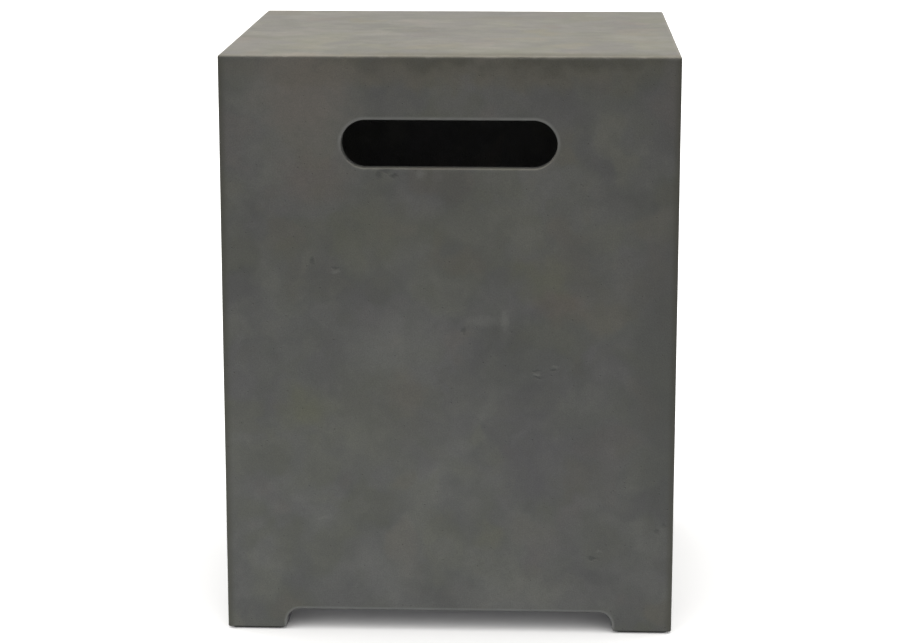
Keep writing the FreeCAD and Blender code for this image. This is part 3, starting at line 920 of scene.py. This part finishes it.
steelLook = {
    "tone": colour(41, 42, 43),
    "tonePale": colour(58, 58, 57),
    "dust": colour(128, 125, 118),
    "patchSize": 0.03,
    "patchShare": 0.35,
    "grainSize": 0.0012,
    "grainShare": 0.25,
    "dustShare": 1.0,
    "roughness": 0.46,
    "patchRoughness": 0.12,
    "dustRoughness": 0.5,
    "bump": (0.35, 0.0002),
    "seeds": (4.0, 6.0, 2.0),  # of the patches, the grain and the dust
}


def darkMaterial(name, look):
    # a dark even finish with paler patches, fine grain and dust
    material, tree, shader, place = newMaterial(name)
    patchSeed, grainSeed, dustSeed = look["seeds"]
    patches = useGroup(tree, clouds, {"Place": place, "Patch Size": look["patchSize"], "Seed": patchSeed,
                                      "Softness": 0.3})[0]
    skin = useGroup(tree, grain, {"Place": place, "Grain Size": look["grainSize"], "Seed": grainSeed})
    dusty = useGroup(tree, settledDust, {"Place": place, "Seed": dustSeed})[0]
    tone = look["tone"]
    layers = ((patches, "patchShare", "tonePale"), (skin["Grain"], "grainShare", "tonePale"),
              (dusty, "dustShare", "dust"))
    for mask, share, paler in layers:
        tone = mixColour(tree, mathNode(tree, "MULTIPLY", mask, look[share]), tone, look[paler])
    rough = mathNode(tree, "MULTIPLY_ADD", patches, look["patchRoughness"], look["roughness"])
    rough = mathNode(tree, "MULTIPLY_ADD", dusty, look["dustRoughness"], rough)
    finishSurface(tree, shader, tone, rough, skin["Height"], *look["bump"])
    return material


powderCoat = darkMaterial("powderCoat", steelLook)

weld = {
    "radius": 0.0016,
    "ripple": 0.0013,          # from one ripple of the bead to the next
    "rippleDepth": 0.22,
    "sides": 8,
    "endShare": 0.35,          # a bead's end is this thin, and swells by endRise with each half ripple
    "endRise": 0.325,
    "proud": 0.0002,           # how far a bead's middle stands off the steel
    "railProud": 0.0001,
    "railLow": 0.003,          # what a bead leaves free at its ends
    "railHigh": 0.004,
    "tieEnd": 0.0015,
    "footStarts": (0.0055, 0.0175),
    "footLength": 0.009,
}


def extrudeRing(bm, ring):
    # the new ring of edges, and its points
    made = bmesh.ops.extrude_edge_only(bm, edges=ring)["geom"]
    verts = only(made, bmesh.types.BMVert)
    fresh = [edge for edge in only(made, bmesh.types.BMEdge) if all(vert in verts for vert in edge.verts)]
    return fresh, verts


def weldBead(bm, start, end):
    # a rippled bead with rounded ends, half sunk in the joint
    start, end = Vector(start), Vector(end)
    length = (end - start).length
    along = (end - start).normalized()
    turn = along.to_track_quat("Z", "Y").to_matrix().to_4x4()
    size = weld["radius"] * weld["endShare"]
    made = bmesh.ops.create_circle(bm, cap_ends=True, segments=weld["sides"], radius=size,
                                   matrix=Matrix.Translation(start) @ turn)
    ring = edgesOf(made["verts"])
    count = max(4, round(length / weld["ripple"] * 2))
    for step in range(1, count + 1):
        ring, verts = extrudeRing(bm, ring)
        swell = min(1.0, weld["endShare"] + weld["endRise"] * min(step, count - step))
        wanted = weld["radius"] * swell * (1 - weld["rippleDepth"] * (step % 2))
        bmesh.ops.translate(bm, vec=along * length / count, verts=verts)
        centre = start + along * length * step / count
        bmesh.ops.scale(bm, vec=Vector((1, 1, 1)) * wanted / size, verts=verts,
                        space=Matrix.Translation(-centre))
        size = wanted
    bmesh.ops.contextual_create(bm, geom=ring)


def makeWelds():
    # placed for the front side and its left corner, then turned to the other three
    bm = bmesh.new()
    lowRail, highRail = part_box("top_rail_front")
    lowTie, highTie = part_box("bottom_tie_front")
    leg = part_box("corner_upright_front_left")[0]
    front = leg.y + fixings["sheet"] + weld["proud"]
    left = leg.x + fixings["sheet"] + weld["proud"]
    railFront = leg.y + fixings["sheet"] + weld["railProud"]
    foot = leg.z + weld["proud"]
    for side in range(4):
        before = set(bm.verts)
        for end in (lowRail.x, highRail.x):
            weldBead(bm, (end, railFront, lowRail.z + weld["railLow"]),
                     (end, railFront, highRail.z - weld["railHigh"]))
            weldBead(bm, (end, front, lowTie.z + weld["tieEnd"]), (end, front, highTie.z - weld["tieEnd"]))
        for start in weld["footStarts"]:
            stop = start + weld["footLength"]
            weldBead(bm, (leg.x + start, front, foot), (leg.x + stop, front, foot))
            weldBead(bm, (left, leg.y + start, foot), (left, leg.y + stop, foot))
        fresh = [vert for vert in bm.verts if vert not in before]
        bmesh.ops.rotate(bm, cent=(0, 0, 0), matrix=quarterTurn(side), verts=fresh)
    finishPiece("weldBeads", bm, powderCoat, None)


for name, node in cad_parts.items():
    if name.startswith(("corner_upright", "top_rail", "bottom_tie", "foot_plate")):
        node.data.materials[0] = powderCoat
makeWelds()
print("frame coated and welded")


# The hexagon flange screws that hold the panels, and the brass inserts that they go into

screwShape = {
    "flats": 0.008,
    "headHeight": 0.0035,
    "headRound": 0.0005,
    "dimpleEdge": 0.0012,      # from the head's edge to the dimple's
    "dimpleSlope": 0.0003,
    "dimple": 0.0003,
    "flangeRadius": 0.0052,
    "flangeHeight": 0.0008,
    "flangeSides": 28,
    "flangeTaper": 0.9,
    "flangeRound": 0.0002,
    "shankRadius": 0.00245,
    "shankLength": 0.0099,
    "shankSides": 14,
    "shankTip": 0.8,
    "threadPitch": 0.0008,
    "threadDepth": 0.00035,
}


def platedMaterial(name, tint, tintPale, roughness, seed):
    # bright metal with a faint spangle and handling marks
    material, tree, shader, place = newMaterial(name)
    spangle = useGroup(tree, clouds, {"Place": place, "Patch Size": 0.0035, "Seed": seed,
                                      "Softness": 0.22})[0]
    scratch = useGroup(tree, grain, {"Place": place, "Grain Size": 0.0005, "Seed": seed + 3})
    tone = mixColour(tree, spangle, tint, tintPale)
    rough = mathNode(tree, "MULTIPLY_ADD", spangle, 0.14, roughness)
    rough = mathNode(tree, "MULTIPLY_ADD", scratch["Grain"], 0.1, rough)
    shader.inputs["Metallic"].default_value = 1.0
    finishSurface(tree, shader, tone, rough, scratch["Height"], 0.25, 0.0001)
    return material


zincPlate = platedMaterial("zincPlate", colour(176, 176, 170), colour(206, 207, 204), 0.26, 5.0)
castBrass = platedMaterial("castBrass", colour(178, 140, 78), colour(204, 170, 104), 0.3, 9.0)


def ringUp(bm, ring, rise, ratio, centre):
    # extrudes a ring of edges along Z and scales the new ring about its own middle
    fresh, verts = extrudeRing(bm, ring)
    bmesh.ops.translate(bm, vec=(0, 0, rise), verts=verts)
    bmesh.ops.scale(bm, vec=(ratio, ratio, 1), verts=verts, space=Matrix.Translation(-centre))
    return fresh


def topEdges(verts, height):
    return [edge for edge in edgesOf(verts) if all(vert.co.z > height - margin for vert in edge.verts)]


def oneScrew(bm, place):
    # head on +Z and shank on -Z, then put in place; the head's underside is at zero
    shape = screwShape
    before = set(bm.verts)
    origin = Vector((0, 0, 0))
    corner = shape["flats"] / math.sqrt(3)
    height, thick = shape["headHeight"], shape["flangeHeight"]
    head = bmesh.ops.create_cone(bm, cap_ends=True, segments=6, radius1=corner, radius2=corner, depth=height,
                                 matrix=Matrix.Translation((0, 0, height / 2)))["verts"]
    rounded = roundEdges(bm, topEdges(head, height), shape["headRound"], 3)
    lid = [face for face in bm.faces if face.normal.z > flush and face not in rounded
           and all(vert not in before and vert.co.z > height - margin for vert in face.verts)]
    bmesh.ops.inset_region(bm, faces=lid, thickness=shape["dimpleEdge"], depth=0.0, use_even_offset=True)
    bmesh.ops.inset_region(bm, faces=lid, thickness=shape["dimpleSlope"], depth=-shape["dimple"],
                           use_even_offset=True)

    flange = bmesh.ops.create_cone(bm, cap_ends=True, segments=shape["flangeSides"],
                                   radius1=shape["flangeRadius"],
                                   radius2=shape["flangeRadius"] * shape["flangeTaper"], depth=thick,
                                   matrix=Matrix.Translation((0, 0, thick / 2)))["verts"]
    roundEdges(bm, topEdges(flange, thick), shape["flangeRound"], 2)

    radius, length, halfPitch = shape["shankRadius"], shape["shankLength"], shape["threadPitch"] / 2
    made = bmesh.ops.create_circle(bm, cap_ends=True, segments=shape["shankSides"],
                                   radius=radius * shape["shankTip"],
                                   matrix=Matrix.Translation((0, 0, -length)))
    core = 1 - shape["threadDepth"] / radius
    ring = ringUp(bm, edgesOf(made["verts"]), halfPitch, core / shape["shankTip"], origin)
    turns = int(length / shape["threadPitch"] - 1)
    for turn in range(turns):
        ring = ringUp(bm, ring, halfPitch, 1 / core, origin)
        ring = ringUp(bm, ring, halfPitch, core, origin)
    ring = ringUp(bm, ring, length - (2 * turns + 1) * halfPitch, 1 / core, origin)
    bmesh.ops.contextual_create(bm, geom=ring)
    fresh = [vert for vert in bm.verts if vert not in before]
    bmesh.ops.transform(bm, matrix=place, verts=fresh)


def screwGroup(side, places):
    bm = bmesh.new()
    for place in places:
        oneScrew(bm, place)
    finishPiece(f"{side}PanelScrews", bm, zincPlate, [f"{side}_panel_screws"])


def makeScrews():
    # no two screws beside each other stop at the same turn
    box, sheet = coverBox, fixings["sheet"]
    for number, side in enumerate(("front", "right", "back", "left")):
        half, reach = box["halfWidth"], box["halfDepth"]
        if side in ("right", "left"):
            half, reach = reach, half
        turn = quarterTurn(number, 4)
        face = -reach + box["thickness"] + sheet
        places = []
        for sign in (-1, 1):
            for height in fixings["wallHeights"]:
                spin = Matrix.Rotation(0.7 * sign + 9 * height + number, 4, "Z")
                spot = Vector((sign * (half - fixings["wallInset"]), face, height))
                places.append(turn @ Matrix.Translation(spot) @ Matrix.Rotation(-math.pi / 2, 4, "X") @ spin)
        screwGroup(side, places)
    places = []
    for number in range(4):
        spot = Vector((fixings["topReach"], 0, box["ceiling"] - sheet))
        spot.rotate(quarterTurn(number))
        places.append(Matrix.Translation(spot) @ Matrix.Rotation(math.pi, 4, "X")
                      @ Matrix.Rotation(0.4 + number, 4, "Z"))
    screwGroup("top", places)


makeScrews()
for name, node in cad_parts.items():
    if name.endswith("inserts"):
        node.data.materials[0] = castBrass
print("screws and inserts made")


# The moulded rubber feet

rubberLook = {
    "tone": colour(42, 42, 42),
    "tonePale": colour(62, 61, 59),
    "dust": steelLook["dust"],
    "patchSize": 0.012,
    "patchShare": 0.6,
    "grainSize": 0.0007,
    "grainShare": 0.25,
    "dustShare": 0.6,
    "roughness": 0.72,
    "patchRoughness": 0.12,
    "dustRoughness": 0.0,
    "bump": (0.4, 0.0001),
    "seeds": (7.0, 3.0, 5.0),
}

padShape = {
    "corner": 0.004,
    "cornerSteps": 7,
    "lip": 0.0004,
    "grooves": 3,              # rings moulded into the tread
    "grooveGap": 0.0032,
    "grooveWidth": 0.0018,
    "grooveDepth": 0.0006,
    "grooveSlope": 0.0002,
    "stemPlace": 0.16575,      # from the cover's middle, across and along
    "stemRadius": 0.00495,
    "stemSides": 24,
    "barbRadius": 0.0065,
    "barbTip": 0.0035,
    "barbHeight": 0.005,
    "barbRound": 0.0005,
}

mouldedRubber = darkMaterial("mouldedRubber", rubberLook)


def makePad(name, node):
    # a square ring with round corners, run down the sides, over the lip and across the tread's grooves
    shape = padShape
    bottom = coverBox["bottom"]
    low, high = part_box(node)
    centre = (low + high) / 2
    half = (high.x - low.x) / 2
    lip, slope = shape["lip"], shape["grooveSlope"]
    bm = bmesh.new()
    bmesh.ops.create_grid(bm, x_segments=1, y_segments=1, size=half - lip,
                          matrix=Matrix.Translation((centre.x, centre.y, bottom)))
    bmesh.ops.bevel(bm, geom=bm.verts[:], offset=shape["corner"], offset_type="OFFSET",
                    segments=shape["cornerSteps"], profile=0.5, affect="VERTICES", material=-1)
    steps = [(-0.3 * lip, 0.7 * lip), (-0.7 * lip, 0.3 * lip), (low.z - bottom + 2 * lip, 0),
             (-0.7 * lip, -0.3 * lip), (-0.3 * lip, -0.7 * lip)]
    for groove in range(shape["grooves"]):
        steps += [(0, -shape["grooveGap"]), (shape["grooveDepth"], -slope),
                  (0, 2 * slope - shape["grooveWidth"]), (-shape["grooveDepth"], -slope)]
    ring = bm.edges[:]
    reach = half - lip
    for rise, growth in steps:
        ring = ringUp(bm, ring, rise, (reach + growth) / reach, centre)
        reach += growth
    bmesh.ops.contextual_create(bm, geom=ring)

    # the stem, then its barb above the foot plate
    stem, barb, tip = shape["stemRadius"], shape["barbRadius"], shape["barbTip"]
    rise, rounding = shape["barbHeight"], shape["barbRound"]
    foot = Vector([math.copysign(shape["stemPlace"], value) for value in centre.xy] + [0])
    made = bmesh.ops.create_circle(bm, cap_ends=True, segments=shape["stemSides"], radius=stem,
                                   matrix=Matrix.Translation(foot + Vector((0, 0, bottom))))
    ring = edgesOf(made["verts"])
    for rise, ratio in ((high.z - rise - bottom, 1), (0, barb / stem), (rounding, 1),
                        (rise - 2 * rounding, tip / barb), (rounding, 1 - rounding / tip)):
        ring = ringUp(bm, ring, rise, ratio, foot)
    bmesh.ops.contextual_create(bm, geom=ring)
    return finishPiece(name, bm, mouldedRubber, [node])


pads = []
for first in ("front", "back"):
    for second in ("left", "right"):
        pads.append(makePad(f"{first}{second.capitalize()}Pad", f"foot_pad_{first}_{second}"))
print("feet moulded")


# The studio: white floor, soft light from above, the photograph's viewpoint

studio = {
    "floorSize": 80,
    "floorSeen": colour(231, 231, 231),
    "floorBounce": (0.06, 0.06, 0.06, 1),
    "ambient": (0.38, 0.387, 0.405, 1),
}

# the lamps' places, then their own settings
lamps = {
    "skyFrom": (-0.04, -0.02, 1.0),
    "fillGap": 0.38,
    "fillHeight": 0.03,
    "fillAim": 0.12,
    "fillOffset": 0.2,
    "inside": (0, 0, 0.02),
    "insideAim": 0.045,
    "under": (0, 0, -0.3),
}
skyLamp = {"angle": math.radians(30), "energy": 3.25, "color": (1.0, 0.932, 0.84)}

# a whole sky of soft light for the floor alone
domeLamp = {"angle": math.radians(176), "energy": 5.2, "color": (1.0, 0.985, 0.96)}

# low strips, one on each side of the cover
fillLamp = {"shape": "RECTANGLE", "size": 0.8, "size_y": 0.05, "energy": 0.46, "color": (0.92, 0.97, 1.03)}

# small lamps inside, for a look at the cover from below, and one below the floor for the pads' treads
insideLamp = {"shape": "RECTANGLE", "size": 0.3, "size_y": 0.03, "spread": math.radians(70),
              "energy": 0.045, "color": (1.0, 0.95, 1.12)}
ceilingLamp = {"size": 0.15, "spread": math.radians(50), "energy": 0.03, "color": insideLamp["color"]}
underLamp = {"size": 0.3, "energy": 0.5}

photoView = {
    "place": (0.0876, -2.3882, 0.7695),
    "tilt": 77.56,
    "turn": 2.27,
    "lens": 102.1,
    "sensor": 36,
}


def seenDirectly(tree):
    # 1 for camera, glossy and transmission rays
    path = tree.nodes.new("ShaderNodeLightPath").outputs
    seen = mathNode(tree, "MAXIMUM", path["Is Camera Ray"], path["Is Glossy Ray"])
    return mathNode(tree, "MAXIMUM", seen, path["Is Transmission Ray"])


def makeFloor():
    # white to the camera, and clear from below
    bm = bmesh.new()
    bmesh.ops.create_grid(bm, x_segments=1, y_segments=1, size=studio["floorSize"] / 2)
    floor = meshObject("studioFloor", bm)
    material = bpy.data.materials.new("studioFloorPaint")
    tree = emptyTree(material)
    tone = mixColour(tree, seenDirectly(tree), studio["floorBounce"], studio["floorSeen"])
    paint = addNode(tree, "ShaderNodeBsdfDiffuse", None, {"Color": tone})
    clear = tree.nodes.new("ShaderNodeBsdfTransparent")
    behind = tree.nodes.new("ShaderNodeNewGeometry").outputs["Backfacing"]
    shown = addNode(tree, "ShaderNodeMixShader", None, {0: behind, 1: paint.outputs[0], 2: clear.outputs[0]})
    addNode(tree, "ShaderNodeOutputMaterial", None, {"Surface": shown.outputs[0]})
    floor.data.materials.append(material)
    return floor


def makeWorld():
    world = bpy.data.worlds.new("studioWorld")
    bpy.context.scene.world = world
    tree = emptyTree(world)
    tone = mixColour(tree, seenDirectly(tree), studio["ambient"], (1, 1, 1, 1))
    background = addNode(tree, "ShaderNodeBackground", None, {"Color": tone, "Strength": 1.0})
    addNode(tree, "ShaderNodeOutputWorld", None, {"Surface": background.outputs[0]})


def addLamp(name, kind, place, aim, receivers, settings):
    # shines on its receivers alone, or on everything where there are none
    lamp = bpy.data.lights.new(name, kind)
    for key, value in settings.items():
        setattr(lamp, key, value)
    holder = newObject(name, lamp)
    holder.location = place
    holder.rotation_euler = (Vector(aim) - Vector(place)).to_track_quat("-Z", "Y").to_euler()
    holder.visible_camera = False
    if receivers:
        holder.light_linking.receiver_collection = receivers
    return holder


def linkedTo(name, objects):
    collection = bpy.data.collections.new(name)
    for item in objects:
        collection.objects.link(item)
    return collection


def makeLamps(floor):
    floorOnly = linkedTo("floorAlone", [floor])
    allButFloor = linkedTo("allButFloor", [floor])
    allButFloor.collection_objects[0].light_linking.link_state = "EXCLUDE"
    padsOnly = linkedTo("padsAlone", pads)

    addLamp("skyLamp", "SUN", lamps["skyFrom"], (0, 0, 0), allButFloor, skyLamp)
    addLamp("domeLamp", "SUN", (0, 0, 1), (0, 0, 0), floorOnly, domeLamp)
    face, offset = coverBox["halfDepth"], lamps["fillOffset"]
    for number in range(4):
        turn = quarterTurn(number)
        place = turn @ Vector((-offset, -face - lamps["fillGap"], lamps["fillHeight"]))
        aim = turn @ Vector((-offset, -face, lamps["fillAim"]))
        addLamp(f"fillLamp{number}", "AREA", place, aim, None, fillLamp)
        aim = turn @ Vector((0, -face, lamps["insideAim"]))
        addLamp(f"insideLamp{number}", "AREA", lamps["inside"], aim, allButFloor, insideLamp)
    addLamp("ceilingLamp", "AREA", lamps["inside"], (0, 0, 1), allButFloor, ceilingLamp)
    holder = addLamp("underLamp", "AREA", lamps["under"], (0, 0, 1), padsOnly, underLamp)
    holder.light_linking.blocker_collection = allButFloor


def makeCamera():
    camera = bpy.data.cameras.new("photoCamera")
    camera.lens = photoView["lens"]
    camera.sensor_width = photoView["sensor"]
    holder = newObject("photoCamera", camera)
    holder.location = photoView["place"]
    holder.rotation_euler = (math.radians(photoView["tilt"]), 0, math.radians(photoView["turn"]))
    bpy.context.scene.camera = holder


studioFloor = makeFloor()
makeWorld()
makeLamps(studioFloor)
makeCamera()
bpy.context.scene.view_settings.view_transform = "Standard"
print("studio set")
